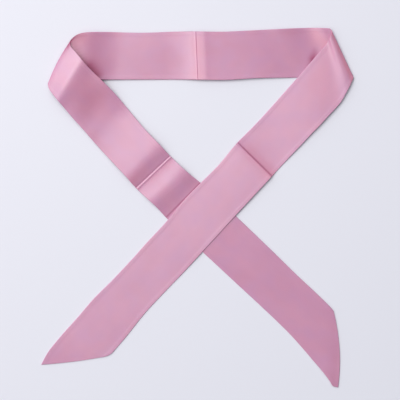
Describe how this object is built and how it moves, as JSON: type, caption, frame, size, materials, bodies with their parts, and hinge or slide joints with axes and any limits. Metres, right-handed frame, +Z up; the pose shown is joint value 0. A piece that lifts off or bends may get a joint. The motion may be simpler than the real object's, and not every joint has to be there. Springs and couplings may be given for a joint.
{
  "type": "skinny scarf",
  "caption": "Long narrow satin scarf with slanted ends, laid flat in a loop with crossed tails.",
  "frame": {"origin": "on the surface that the scarf lies on, under the middle of its outline", "axes": "+Z up from that surface; +Y from the tips of the tails towards the neck stretch; +X to the right as seen from above with the neck stretch at the top"},
  "size_m": [0.3287, 0.3784, 0.0121],
  "materials": {
    "satin": "smooth pink satin with a soft sheen"
  },
  "bodies": {
    "root": {"neck_band": "satin", "left_tail": "satin", "right_tail": "satin"}
  },
  "joints": []
}
